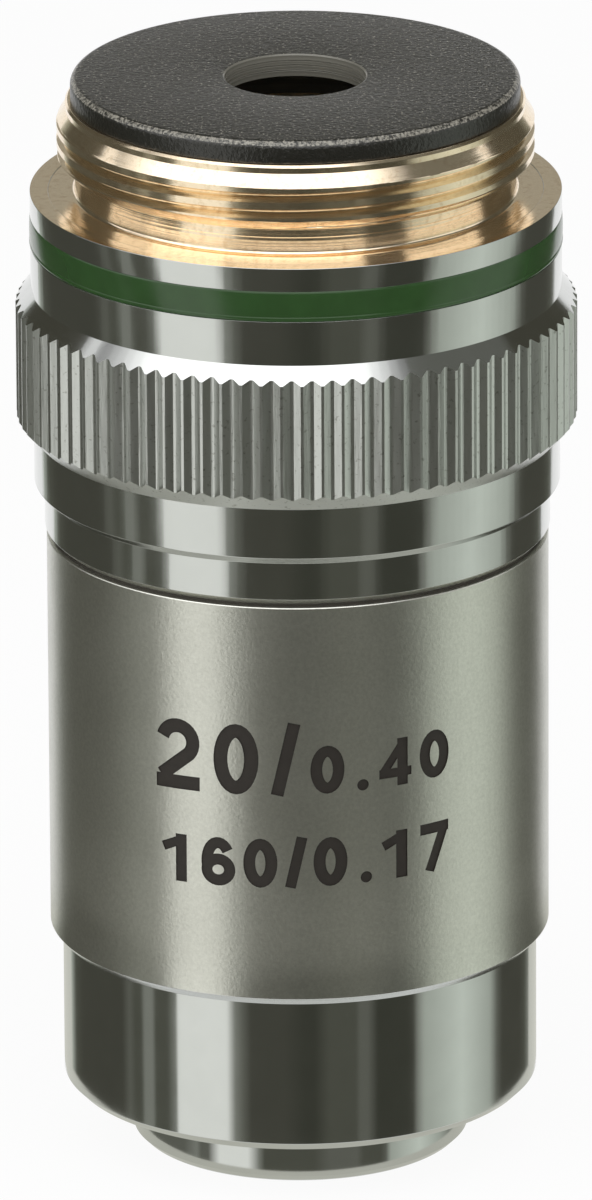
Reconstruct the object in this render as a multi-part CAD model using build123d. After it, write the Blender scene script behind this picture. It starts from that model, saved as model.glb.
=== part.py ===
from build123d import *
import os
from math import copysign, cos, pi, sin, sqrt

os.makedirs("parts", exist_ok=True)

# A microscope objective, turned about the optical axis, in millimetres.
# The origin is the centre of the mounting shoulder. +Z points to the eye side, so the nose hangs below it.
# Heights that end in _z are worked out from the driving lengths. A radius ends in _r.

# Mounting thread and the brass ring that carries it
thread_crest_r = 10.125
thread_depth = 0.45
thread_top_z = 3.14
neck_relief = 0.775
neck_height = 1.23
lead_in_height = 0.54
lead_in_depth = 0.375
ring_end_height = 0.34
ring_end_chamfer = 0.1
ring_flange_drop = 0.03
ring_flange_thickness = 1.2
ring_wall = 1.05
ring_spigot_length = 2.2

# Black cap over the eye side
cap_inset = 0.595
cap_thickness = 0.98
cap_edge_chamfer = 0.3
cap_hole_r = 2.98
cap_skirt_length = 2.1
cap_skirt_wall = 1.0

# Plated barrel with the straight knurl
shoulder_width = 1.158
rim_width = 0.783
flange_seat_width = 0.5
band_length = 4.25
colour_ring_drop = 1.0
colour_ring_width = 1.34
colour_groove_depth = 0.25
knurl_height = 0.647
knurl_length = 4.9
knurl_top_chamfer = 0.71
knurl_bottom_chamfer = 0.78
knurl_teeth = 87
knurl_depth = 0.24
knurl_step = 0.03
collar_1_step = 0.083
collar_1_length = 2.15
collar_1_chamfer = 0.38
collar_2_step = 0.43
collar_2_length = 1.61
joint_chamfer = 0.27

# Satin sleeve
sleeve_step = 0.065
sleeve_length = 18.01
sleeve_spigot_length = 4.6
sleeve_spigot_wall = 0.8
sleeve_lip_width = 0.479
sleeve_end_chamfer = 0.35
sleeve_end_chamfer_width = 0.305
land_width = 0.7
land_thickness = 2.0

# Spring-loaded nose and the lens tube that it is screwed to
nose_showing = 6.81
nose_engagement = 3.06
nose_end_chamfer = 0.365
nose_web = 3.27
nose_travel = 3.0
travel_room = 0.4
slide_clearance = 0.05
nose_clearance = 0.06
tube_wall = 0.7
tube_flange_thickness = 2.2
tube_ledge_width = 1.1
tube_ledge_thickness = 1.0
tube_end_gap = 1.6

# Guide pin and its keyway, at the back
pin_r = 0.5
pin_cover = 0.2
keyway_depth = 0.45
keyway_floor_gap = 0.1

# Return spring and the seat that preloads it
spring_seat_thickness = 2.0
spring_seat_clearance = 0.4
spring_space = 2.0
spring_wire_r = 0.4
spring_turns = 3
spanner_slot_width = 1.0
spanner_slot_depth = 0.8

# Front cell and front lens
tip_step = 2.966
tip_length = 2.54
tip_rim_chamfer = 0.32
front_spigot_step = 1.3
front_spigot_gap = 0.67
front_cone_wall = 1.4
front_bezel_width = 0.3
front_bezel = 0.15
front_lens_r = 2.3
front_lens_edge = 0.5
front_lens_bulge = 1.39

# Middle doublet
middle_cell_wall = 2.2
middle_flint_thickness = 1.4
middle_outer_curve_r = 15.0
middle_cement_curve_r = 10.5

# Rear doublet
rear_cell_wall = 1.7
rear_flint_thickness = 1.5
rear_outer_curve_r = 18.0
rear_cement_curve_r = 13.0

# What both lens cells share, and what holds them in the tube
crown_edge = 0.85
lens_seat_width = 0.7
cell_ledge = 0.8
cell_lip = 0.3
spacer_wall = 0.9
stop_thickness = 0.6
stop_hole_r = 2.8
stop_bevel = 0.4
lock_ring_thickness = 1.6
lock_ring_wall = 1.5
lock_ring_depth = 1.8

# Radii, worked out from the thread outwards to the knurl, then inwards
neck_r = thread_crest_r - neck_relief
ring_bore_r = neck_r - ring_wall
cap_r = thread_crest_r - cap_inset
barrel_r = thread_crest_r + shoulder_width
ring_flange_r = barrel_r - rim_width
barrel_bore_r = ring_flange_r - flange_seat_width
knurl_r = barrel_r + knurl_height
collar_1_r = barrel_r - collar_1_step
collar_2_r = collar_1_r - collar_2_step
sleeve_r = collar_2_r - sleeve_step
pocket_r = sleeve_r - sleeve_lip_width
nose_r = pocket_r - nose_clearance
sleeve_bore_r = barrel_bore_r - sleeve_spigot_wall
land_r = sleeve_bore_r - land_width
tube_r = land_r - slide_clearance
tube_neck_r = sleeve_bore_r - spring_space
tube_bore_r = tube_neck_r - tube_wall
tube_ledge_r = tube_bore_r - tube_ledge_width
pin_root_r = tube_neck_r + pin_cover
spring_seat_bore_r = tube_neck_r + spring_seat_clearance
spring_r = sleeve_bore_r - spring_space / 2
tip_r = nose_r - tip_step
front_spigot_r = tip_r - front_spigot_step
front_cone_r = front_spigot_r - front_cone_wall
front_window_r = front_lens_r - front_bezel_width
front_lens_curve_r = (front_lens_r**2 + front_lens_bulge**2) / (2 * front_lens_bulge)
middle_lens_r = tube_bore_r - middle_cell_wall
rear_lens_r = tube_bore_r - rear_cell_wall

# Heights along the axis
thread_foot_z = neck_height + thread_depth
lead_in_z = thread_top_z + lead_in_height
ring_top_z = lead_in_z + ring_end_height
ring_seat_z = -ring_flange_drop - ring_flange_thickness
ring_bottom_z = ring_seat_z - ring_spigot_length
cap_top_z = ring_top_z + cap_thickness
colour_top_z = -colour_ring_drop
colour_bottom_z = colour_top_z - colour_ring_width
knurl_top_z = -band_length - knurl_top_chamfer
knurl_bottom_z = knurl_top_z - knurl_length
collar_1_top_z = knurl_bottom_z - knurl_bottom_chamfer
collar_1_bottom_z = collar_1_top_z - collar_1_length
collar_2_top_z = collar_1_bottom_z - collar_1_chamfer
collar_2_bottom_z = collar_2_top_z - collar_2_length
joint_z = collar_2_bottom_z - joint_chamfer
sleeve_bottom_z = joint_z - sleeve_length
nose_top_z = sleeve_bottom_z + nose_engagement
nose_front_z = sleeve_bottom_z - nose_showing
land_bottom_z = nose_top_z + nose_travel + travel_room
land_top_z = land_bottom_z + land_thickness
flange_top_z = land_top_z + tube_flange_thickness
spring_seat_z = ring_bottom_z - spring_seat_thickness
tube_top_z = spring_seat_z - tube_end_gap
nose_seat_z = nose_front_z + nose_web
cells_bottom_z = nose_seat_z + tube_ledge_thickness
cells_top_z = tube_top_z - lock_ring_depth
tip_z = nose_front_z - tip_length


def turned(*outline):
    """One piece turned about the optical axis from its half section, as (radius, height) points."""
    section = Polyline(*[(r, 0, z) for r, z in outline], close=True)
    return revolve(make_face(section), Axis.Z)


def ring(outer_r, inner_r, bottom_z, top_z):
    """A plain ring about the optical axis."""
    return turned((inner_r, bottom_z), (outer_r, bottom_z), (outer_r, top_z), (inner_r, top_z))


def sag(curve_r, r):
    """How far a spherical surface falls away from its vertex at a radius."""
    return curve_r - sqrt(curve_r**2 - r**2)


def spanner_slots(outer_r, inner_r, top_z):
    """Two opposite slots across a screwed ring's end face, for a pin spanner."""
    length = 2 * (outer_r + spanner_slot_width)
    height = 2 * spanner_slot_depth
    return Pos(0, 0, top_z) * Box(length, spanner_slot_width, height) - ring(inner_r, 0, -height, height)


def make_mount_ring():
    """Brass ring: flange flush in the barrel, relieved neck, thread blank with a lead-in, screwed spigot."""
    top_r = thread_crest_r - lead_in_depth
    return turned(
        (ring_bore_r, ring_bottom_z),
        (barrel_bore_r, ring_bottom_z),
        (barrel_bore_r, ring_seat_z),
        (ring_flange_r, ring_seat_z),
        (ring_flange_r, -ring_flange_drop),
        (neck_r, -ring_flange_drop),
        (neck_r, neck_height),
        (thread_crest_r - thread_depth, neck_height),
        (thread_crest_r, thread_foot_z),
        (thread_crest_r, thread_top_z),
        (top_r, lead_in_z),
        (top_r, ring_top_z - ring_end_chamfer),
        (top_r - ring_end_chamfer, ring_top_z),
        (ring_bore_r, ring_top_z),
    )


def make_rear_cap():
    """Moulded black cap: a disc with the light hole and an eased edge, and a skirt that plugs in."""
    skirt_z = ring_top_z - cap_skirt_length
    skirt_r = ring_bore_r - cap_skirt_wall
    return turned(
        (skirt_r, skirt_z),
        (ring_bore_r, skirt_z),
        (ring_bore_r, ring_top_z),
        (cap_r, ring_top_z),
        (cap_r, cap_top_z - cap_edge_chamfer),
        (cap_r - cap_edge_chamfer, cap_top_z),
        (cap_hole_r, cap_top_z),
        (cap_hole_r, ring_top_z),
        (skirt_r, ring_top_z),
    )


def knurl_outline():
    """Cross section of the straight knurl: a star whose crests and roots are joined by straight flanks."""
    step = pi / knurl_teeth
    corners = [(knurl_r - knurl_depth * (i % 2), i * step) for i in range(2 * knurl_teeth)]
    return make_face(Polyline(*[(r * cos(a), r * sin(a)) for r, a in corners], close=True))


def knurl_trim(end_r, end_z, crest_z, far_z):
    """Pyramid that chamfers one end of the knurl, a flat to each tooth, and meets the crests at crest_z."""
    start_r = end_r + knurl_step
    far_r = start_r + (knurl_r - start_r) * (far_z - end_z) / (crest_z - end_z)
    outlines = [
        Pos(0, 0, z) * RegularPolygon(r, knurl_teeth, major_radius=False, rotation=180 / knurl_teeth)
        for r, z in ((start_r, end_z), (far_r, far_z))
    ]
    return loft(outlines, ruled=True)


def make_knurl():
    """The knurled band: a toothed bar, its ends chamfered with a flat to each tooth where grooves run out."""
    low_z, high_z = collar_1_top_z, -band_length
    bar = Pos(0, 0, low_z) * extrude(knurl_outline(), high_z - low_z)
    top_trim = knurl_trim(barrel_r, high_z, knurl_top_z, low_z)
    bottom_trim = knurl_trim(collar_1_r, low_z, knurl_bottom_z, high_z)
    return (bar & top_trim & bottom_trim) - ring(barrel_bore_r, 0, low_z, high_z)


def make_barrel():
    """Plated barrel in one piece: upper band with the colour groove, knurl, two collars and a plain bore."""
    joint_r = collar_2_r - joint_chamfer
    groove_r = barrel_r - colour_groove_depth
    upper = turned(
        (barrel_bore_r, -band_length),
        (barrel_r, -band_length),
        (barrel_r, colour_bottom_z),
        (groove_r, colour_bottom_z),
        (groove_r, colour_top_z),
        (barrel_r, colour_top_z),
        (barrel_r, 0),
        (ring_flange_r, 0),
        (ring_flange_r, ring_seat_z),
        (barrel_bore_r, ring_seat_z),
    )
    lower = turned(
        (barrel_bore_r, joint_z),
        (joint_r, joint_z),
        (collar_2_r, collar_2_bottom_z),
        (collar_2_r, collar_2_top_z),
        (collar_1_r, collar_1_bottom_z),
        (collar_1_r, collar_1_top_z),
        (barrel_bore_r, collar_1_top_z),
    )
    return upper + make_knurl() + lower


def make_sleeve():
    """Satin sleeve: a spigot for the barrel, a land for the tube flange and a pocket for the nose."""
    shoulder_r = collar_2_r - joint_chamfer
    body = turned(
        (pocket_r, sleeve_bottom_z),
        (sleeve_r - sleeve_end_chamfer_width, sleeve_bottom_z),
        (sleeve_r, sleeve_bottom_z + sleeve_end_chamfer),
        (sleeve_r, joint_z - (sleeve_r - shoulder_r)),
        (shoulder_r, joint_z),
        (barrel_bore_r, joint_z),
        (barrel_bore_r, joint_z + sleeve_spigot_length),
        (sleeve_bore_r, joint_z + sleeve_spigot_length),
        (sleeve_bore_r, land_top_z),
        (land_r, land_top_z),
        (land_r, land_bottom_z),
        (pocket_r, land_bottom_z),
    )
    floor_r = sleeve_bore_r + keyway_depth
    length = joint_z + sleeve_spigot_length - land_top_z
    keyway = Box(
        2 * (pin_r + slide_clearance),
        floor_r - tube_r,
        length,
        align=(Align.CENTER, Align.MIN, Align.MIN),
    )
    return body - Pos(0, tube_r, land_top_z) * keyway


def make_guide_pin():
    """Dowel pressed into the tube flange from outside. Its end runs in the sleeve's keyway."""
    end_r = sleeve_bore_r + keyway_depth - keyway_floor_gap
    middle_z = land_top_z + tube_flange_thickness / 2
    pin = Cylinder(pin_r, end_r - pin_root_r, align=(Align.CENTER, Align.CENTER, Align.MIN))
    return Pos(0, pin_root_r, middle_z) * Rot(-90, 0, 0) * pin


def make_lens_tube():
    """Inner tube: a flange that rests on the land, a slim neck inside the spring, a ledge under the cells."""
    flange_r = sleeve_bore_r - slide_clearance
    body = turned(
        (tube_ledge_r, nose_seat_z),
        (tube_r, nose_seat_z),
        (tube_r, land_top_z),
        (flange_r, land_top_z),
        (flange_r, flange_top_z),
        (tube_neck_r, flange_top_z),
        (tube_neck_r, tube_top_z),
        (tube_bore_r, tube_top_z),
        (tube_bore_r, cells_bottom_z),
        (tube_ledge_r, cells_bottom_z),
    )
    return body - make_guide_pin()


def make_nose():
    """Polished nose: a skirt that slides in the sleeve, a thread for the tube, a web for the front cell."""
    return turned(
        (tube_r, nose_top_z),
        (nose_r, nose_top_z),
        (nose_r, nose_front_z + nose_end_chamfer),
        (nose_r - nose_end_chamfer, nose_front_z),
        (front_spigot_r, nose_front_z),
        (front_spigot_r, nose_seat_z),
        (tube_r, nose_seat_z),
    )


def make_front_cell():
    """The tip: a screwed spigot, a flat front rim to stand on and a bezel that keeps the front lens."""
    lens_seat_z = tip_z + front_bezel
    lens_top_z = lens_seat_z + front_lens_edge
    spigot_top_z = nose_seat_z - front_spigot_gap
    return turned(
        (front_window_r, tip_z),
        (tip_r - tip_rim_chamfer, tip_z),
        (tip_r, tip_z + tip_rim_chamfer),
        (tip_r, nose_front_z),
        (front_spigot_r, nose_front_z),
        (front_spigot_r, spigot_top_z),
        (front_cone_r, spigot_top_z),
        (front_lens_r, lens_top_z),
        (front_lens_r, lens_seat_z),
        (front_window_r, lens_seat_z),
    )


def lens(edge_r, low_z, low_curve_r, high_z, high_curve_r):
    """A lens between two vertices. A curve radius is positive with its centre above, and zero for a flat."""

    def surface(vertex_z, curve_r, r):
        height = copysign(sag(abs(curve_r), r), curve_r) if curve_r else 0
        return (r, 0, vertex_z + height)

    def edge(vertex_z, curve_r):
        start, middle, end = [surface(vertex_z, curve_r, r) for r in (0, edge_r / 2, edge_r)]
        return ThreePointArc(start, middle, end) if curve_r else Line(start, end)

    low, high = edge(low_z, low_curve_r), edge(high_z, high_curve_r)
    section = make_face([low, Line(low @ 1, high @ 1), high, Line(high @ 0, low @ 0)])
    return revolve(section, Axis.Z)


def make_front_lens():
    """Plano-convex front lens, its flat face behind the bezel."""
    flat_z = tip_z + front_bezel
    top_z = flat_z + front_lens_edge + front_lens_bulge
    return lens(front_lens_r, flat_z, 0, top_z, -front_lens_curve_r)


def cell_height(lens_r, outer_curve_r, cement_curve_r, flint_thickness):
    """Height of a doublet's cell, from its bottom face to the top of its spun-over edge."""
    below_edge = sag(outer_curve_r, lens_r) - sag(outer_curve_r, lens_r - lens_seat_width)
    above_edge = crown_edge + sag(cement_curve_r, lens_r) + flint_thickness
    return cell_ledge + below_edge + above_edge + cell_lip


def make_doublet(name, bottom_z, lens_r, outer_curve_r, cement_curve_r, flint_thickness):
    """A cell with its cemented crown and flint, kept by its spun-over edge, by node name."""
    clear_r = lens_r - lens_seat_width
    floor_z = bottom_z + cell_ledge
    low_z = floor_z - sag(outer_curve_r, clear_r)
    cement_z = low_z + sag(outer_curve_r, lens_r) + crown_edge + sag(cement_curve_r, lens_r)
    high_z = cement_z + flint_thickness
    cell = turned(
        (clear_r, bottom_z),
        (tube_bore_r, bottom_z),
        (tube_bore_r, high_z + cell_lip),
        (clear_r, high_z + cell_lip),
        (clear_r, high_z),
        (lens_r, high_z),
        (lens_r, floor_z),
        (clear_r, floor_z),
    )
    return {
        f"{name}_cell": cell,
        f"{name}_crown_lens": lens(lens_r, low_z, outer_curve_r, cement_z, -cement_curve_r),
        f"{name}_flint_lens": lens(lens_r, cement_z, -cement_curve_r, high_z, 0),
    }


def make_cells():
    """Everything stacked in the lens tube, from its ledge up to the lock ring. The spacer fills the rest."""
    middle_glass = (middle_lens_r, middle_outer_curve_r, middle_cement_curve_r, middle_flint_thickness)
    rear_glass = (rear_lens_r, rear_outer_curve_r, rear_cement_curve_r, rear_flint_thickness)
    lock_z = cells_top_z - lock_ring_thickness
    stop_z = lock_z - stop_thickness
    rear_z = stop_z - cell_height(*rear_glass)
    spacer_z = cells_bottom_z + cell_height(*middle_glass)
    stop = turned(
        (stop_hole_r + stop_bevel, stop_z),
        (tube_bore_r, stop_z),
        (tube_bore_r, lock_z),
        (stop_hole_r, lock_z),
    )
    lock_bore_r = tube_bore_r - lock_ring_wall
    lock = ring(tube_bore_r, lock_bore_r, lock_z, cells_top_z)
    return {
        **make_doublet("middle", cells_bottom_z, *middle_glass),
        "cell_spacer": ring(tube_bore_r, tube_bore_r - spacer_wall, spacer_z, rear_z),
        **make_doublet("rear", rear_z, *rear_glass),
        "aperture_stop": stop,
        "lock_ring": lock - spanner_slots(tube_bore_r, lock_bore_r, cells_top_z),
    }


def make_spring_seat():
    """Screwed ring in the barrel's bore that preloads the spring, with slots for a pin spanner."""
    seat = ring(barrel_bore_r, spring_seat_bore_r, spring_seat_z, ring_bottom_z)
    return seat - spanner_slots(barrel_bore_r, spring_seat_bore_r, ring_bottom_z)


def make_spring():
    """Compression spring between the tube flange and the spring seat, of four-sided wire to stay light."""
    low_z = flange_top_z + spring_wire_r
    height = spring_seat_z - spring_wire_r - low_z
    path = Pos(0, 0, low_z) * Helix(height / spring_turns, height, spring_r)
    wire = Plane(path @ 0, z_dir=path % 0) * Rectangle(2 * spring_wire_r, 2 * spring_wire_r)
    return sweep(wire, path, is_frenet=True)


pieces = {
    "rear_cap": make_rear_cap(),
    "mount_ring": make_mount_ring(),
    "knurled_barrel": make_barrel(),
    "colour_ring": ring(barrel_r, barrel_r - colour_groove_depth, colour_bottom_z, colour_top_z),
    "outer_sleeve": make_sleeve(),
    "spring_seat": make_spring_seat(),
    "return_spring": make_spring(),
    "lens_tube": make_lens_tube(),
    "guide_pin": make_guide_pin(),
    "nose_barrel": make_nose(),
    "front_cell": make_front_cell(),
    "front_lens": make_front_lens(),
    **make_cells(),
}

for name, piece in pieces.items():
    export_step(piece, f"parts/{name}.step")
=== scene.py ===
import math

import bmesh
import bpy
from mathutils import Matrix, Vector


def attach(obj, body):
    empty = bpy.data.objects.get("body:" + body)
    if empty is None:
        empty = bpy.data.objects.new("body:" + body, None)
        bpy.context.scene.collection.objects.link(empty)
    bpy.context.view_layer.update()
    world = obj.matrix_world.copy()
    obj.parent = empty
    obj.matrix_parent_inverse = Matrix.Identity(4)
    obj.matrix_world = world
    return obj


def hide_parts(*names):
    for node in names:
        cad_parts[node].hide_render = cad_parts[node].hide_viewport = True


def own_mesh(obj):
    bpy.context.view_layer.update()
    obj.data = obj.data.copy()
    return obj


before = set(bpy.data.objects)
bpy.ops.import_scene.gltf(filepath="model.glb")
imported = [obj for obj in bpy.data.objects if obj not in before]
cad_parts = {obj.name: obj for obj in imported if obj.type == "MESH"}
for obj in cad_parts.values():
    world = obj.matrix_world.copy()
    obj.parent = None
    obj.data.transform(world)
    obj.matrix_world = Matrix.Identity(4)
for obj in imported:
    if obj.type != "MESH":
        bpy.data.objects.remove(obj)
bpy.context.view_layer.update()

MM = 0.001

# How many flats stand for a full turn of the lathe, and for a rounded corner.
TURN_FLATS, CORNER_FLATS = 232, 8

# Sizes in millimetres: those of the solids, and of the finer forms that the solids leave out. Height 0 is
# the mounting shoulder, and up is the eye side. The thread's flank is an angle in degrees.
CAP_R, CAP_TOP, CAP_HOLE_R, CAP_EDGE_ROUND = 9.53, 5.0, 2.98, 0.34
SKIRT_WALL, SKIRT_LENGTH, HOLE_RINGS, HOLE_RING_DEPTH = 1.0, 2.1, (4.72, 4.52, 4.3), 0.05
RING_TOP, RING_BORE_R, RING_BOTTOM, RING_SEAT, RING_CHAMFER = 4.02, 8.3, -3.43, -1.23, 0.1
THREAD_R, THREAD_DEPTH, THREAD_PITCH, THREAD_LAND, THREAD_FLANK = 10.125, 0.375, 0.7056, 0.29, 27.5
THREAD_FOOT, THREAD_FOOT_R, LEAD_IN_LOW, LEAD_IN_HIGH = 1.23, 9.675, 3.14, 3.68
NECK_R, NECK_ROUND = 9.35, 0.2
BARREL_BORE_R, BARREL_R, FLANGE_R, FLANGE_SUNK = 10.0, 11.283, 10.5, 0.012
ENAMEL_TOP, ENAMEL_BOTTOM, ENAMEL_DEPTH = -1.0, -2.34, 0.25
BAND_BOTTOM, KNURL_TOP, KNURL_BOTTOM = -4.25, -4.96, -9.86
KNURL_R, KNURL_DEPTH, KNURL_TEETH, KNURL_CREST, KNURL_ROOT = 11.93, 0.24, 87, 0.14, 0.09
COLLAR_1_R, COLLAR_1_TOP, COLLAR_1_BOTTOM = 11.2, -10.64, -12.79
COLLAR_2_R, COLLAR_2_TOP, COLLAR_2_BOTTOM = 10.77, -13.17, -14.78
JOINT_R, JOINT, JOINT_GAP = 10.5, -15.05, 0.13
SLEEVE_R, SLEEVE_BORE_R, SLEEVE_BOTTOM, SPIGOT_LENGTH = 10.705, 9.2, -33.06, 4.6
SLEEVE_TOP_EDGE, SLEEVE_FOOT_WIDE, SLEEVE_FOOT_HIGH = 0.04, 0.305, 0.35
LAND_R, LAND_TOP, LAND_BOTTOM, POCKET_R = 8.5, -24.6, -26.6, 10.226
NOSE_R, NOSE_TOP, NOSE_SEAT, NOSE_FRONT, NOSE_CHAMFER = 10.166, -30.0, -36.6, -39.87, 0.365
TUBE_R, FRONT_SPIGOT_R, FRONT_CONE_R, FRONT_SEAT = 8.45, 5.9, 4.5, -37.27
TIP_R, TIP_Z, TIP_CHAMFER = 7.2, -42.41, 0.32
WINDOW_R, WINDOW_DEPTH, LENS_R, LENS_SEAT_DEPTH = 2.0, 0.15, 2.3, 0.65
SPRING_R, WIRE_R, SPRING_LOW, SPRING_HIGH, SPRING_TURNS, TRAVEL = 8.2, 0.4, -22.4, -5.43, 3, 3
ENGRAVING_DEPTH, LONGEST_STEP = 0.05, 0.3


def add(tree, kind, inputs=(), **settings):
    """One node with its settings. Each input is a plain value, a node or one of a node's outputs."""
    node = tree.nodes.new(kind)
    for setting, value in settings.items():
        setattr(node, setting, value)
    for socket, value in inputs.items() if isinstance(inputs, dict) else enumerate(inputs):
        if isinstance(value, bpy.types.Node):
            value = value.outputs[0]
        if isinstance(value, bpy.types.NodeSocket):
            tree.links.new(value, node.inputs[socket])
        else:
            node.inputs[socket].default_value = value
    return node


def new_object(name, verts, faces):
    """An object with its own mesh, in metres."""
    mesh = bpy.data.meshes.new(name)
    mesh.from_pydata(verts, [], faces)
    piece = bpy.data.objects.new(name, mesh)
    bpy.context.scene.collection.objects.link(piece)
    return piece


def rounded(corners):
    """The half section's points, each corner that has a third number rounded to that radius."""
    points = []
    for i, corner in enumerate(corners):
        here = Vector(corner[:2])
        if len(corner) < 3:
            points.append(here)
            continue
        to_last = (Vector(corners[i - 1][:2]) - here).normalized()
        to_next = (Vector(corners[(i + 1) % len(corners)][:2]) - here).normalized()
        half = to_last.angle(to_next) / 2
        centre = here + (to_last + to_next).normalized() * corner[2] / math.sin(half)
        start = here + to_last * corner[2] / math.tan(half) - centre
        sweep = start.angle_signed(here + to_next * corner[2] / math.tan(half) - centre)
        for k in range(CORNER_FLATS + 1):
            points.append(centre + Matrix.Rotation(-sweep * k / CORNER_FLATS, 2) @ start)
    return points


def turned(name, corners, angles=None, closed=True):
    """A piece turned on the lathe from its half section in mm. An open one leaves room for a cut form."""
    points = rounded(corners)
    angles = angles or [2 * math.pi * k / TURN_FLATS for k in range(TURN_FLATS)]
    verts = [(p.x * MM * math.cos(a), p.x * MM * math.sin(a), p.y * MM) for a in angles for p in points]
    n, m = len(points), len(angles)
    faces = [
        (k * n + i, (k + 1) % m * n + i, (k + 1) % m * n + (i + 1) % n, k * n + (i + 1) % n)
        for k in range(m)
        for i in range(n if closed else n - 1)
    ]
    return new_object(name, verts, faces)


def new_tree(name, sizes):
    """A Geometry Nodes tree with a named input for each size, and what its input node gives."""
    tree = bpy.data.node_groups.new(name, "GeometryNodeTree")
    tree.interface.new_socket("Geometry", in_out="INPUT", socket_type="NodeSocketGeometry")
    kinds = {int: "Int", float: "Float", bpy.types.Material: "Material"}
    for label, value in sizes.items():
        tree.interface.new_socket(label, in_out="INPUT", socket_type=f"NodeSocket{kinds[type(value)]}")
    tree.interface.new_socket("Geometry", in_out="OUTPUT", socket_type="NodeSocketGeometry")
    return tree, add(tree, "NodeGroupInput").outputs


def end_tree(tree, geometry, finish):
    """The tree's last nodes."""
    real = add(tree, "GeometryNodeRealizeInstances", [geometry])
    done = add(tree, "GeometryNodeSetMaterial", {"Geometry": real, "Material": finish})
    add(tree, "NodeGroupOutput", [done])


def plain_mesh(piece):
    """The evaluated piece as a plain mesh, its modifiers gone."""
    bpy.context.view_layer.update()
    mesh = bpy.data.meshes.new_from_object(piece.evaluated_get(bpy.context.evaluated_depsgraph_get()))
    piece.modifiers.clear()
    piece.data = mesh
    mesh.name = piece.name


def work(piece, tree, sizes):
    """Runs the tree on a piece, with each input set by its identifier."""
    modifier = piece.modifiers.new(tree.name, "NODES")
    modifier.node_group = tree
    for item in tree.interface.items_tree:
        if item.in_out == "INPUT" and item.name in sizes:
            modifier[item.identifier] = sizes[item.name]
    plain_mesh(piece)


def close(piece, crisp=28):
    """Merges what coincides, turns the faces outwards, and shades smoothly between crisp edges."""
    form = bmesh.new()
    form.from_mesh(piece.data)
    bmesh.ops.remove_doubles(form, verts=form.verts, dist=0.0005 * MM)
    bmesh.ops.recalc_face_normals(form, faces=form.faces)
    form.to_mesh(piece.data)
    form.free()
    piece.data.shade_smooth()
    piece.data.set_sharp_from_angle(angle=math.radians(crisp))


def hand_over(piece, body, finishes, node):
    """Gives a piece its finishes and its body, and hides the CAD node that it stands for."""
    piece.data.materials.clear()
    for finish in finishes:
        piece.data.materials.append(finish)
    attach(piece, body)
    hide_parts(node)


def refinish(piece, number, chosen):
    """Puts another of a piece's finishes on faces, chosen by their radius, height and upward slope."""
    for face in piece.data.polygons:
        spot = face.center / MM
        if chosen(math.hypot(spot.x, spot.y), spot.z, face.normal.z):
            face.material_index = number


def colour(code):
    """An sRGB hex value as the linear colour that a shader takes."""
    parts = [int(code[i : i + 2], 16) / 255 for i in (1, 3, 5)]
    return (*[c / 12.92 if c <= 0.04045 else ((c + 0.055) / 1.055) ** 2.4 for c in parts], 1)


def new_finish(name):
    """An empty material, its tree, and the point on the object counted in mm."""
    finish = bpy.data.materials.new(name)
    finish.use_nodes = True
    finish.node_tree.nodes.clear()
    place = add(finish.node_tree, "ShaderNodeTexCoord").outputs["Object"]
    point = add(finish.node_tree, "ShaderNodeMapping", {"Vector": place, "Scale": (1000, 1000, 1000)})
    return finish, finish.node_tree, point


def end_finish(tree, shader):
    """Joins the shader to the surface."""
    add(tree, "ShaderNodeOutputMaterial", {"Surface": shader})


def tool_rings(tree, point, per_mm):
    """Fine circles round the axis, as a lathe tool leaves them on walls and faces alike."""
    across = add(tree, "ShaderNodeVectorMath", [point, (1, 1, 0)], operation="MULTIPLY")
    radius = add(tree, "ShaderNodeVectorMath", [across], operation="LENGTH").outputs["Value"]
    height = add(tree, "ShaderNodeSeparateXYZ", [point]).outputs["Z"]
    feed = add(tree, "ShaderNodeMath", [radius, height], operation="ADD")
    return add(tree, "ShaderNodeTexNoise", {"W": feed, "Scale": per_mm, "Detail": 3}, noise_dimensions="1D")


def make_bright_chrome():
    """Chrome plate on turned and polished brass: a mirror with the faintest trace of the tool."""
    finish, tree, point = new_finish("bright_chrome_plating")
    haze = add(tree, "ShaderNodeTexNoise", {"Vector": point, "Scale": 0.6, "Detail": 4})
    shades = {0: haze, 6: colour("#CBCDCB"), 7: colour("#D5D7D5")}
    tone = add(tree, "ShaderNodeMix", shades, data_type="RGBA")
    rough = add(tree, "ShaderNodeMapRange", {"Value": haze, "To Min": 0.08, "To Max": 0.15})
    rings = tool_rings(tree, point, 6)
    relief = add(tree, "ShaderNodeBump", {"Height": rings, "Strength": 0.05, "Distance": 0.02 * MM})
    look = {"Base Color": tone.outputs[2], "Metallic": 1, "Roughness": rough, "Normal": relief}
    end_finish(tree, add(tree, "ShaderNodeBsdfPrincipled", look))
    return finish


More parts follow.
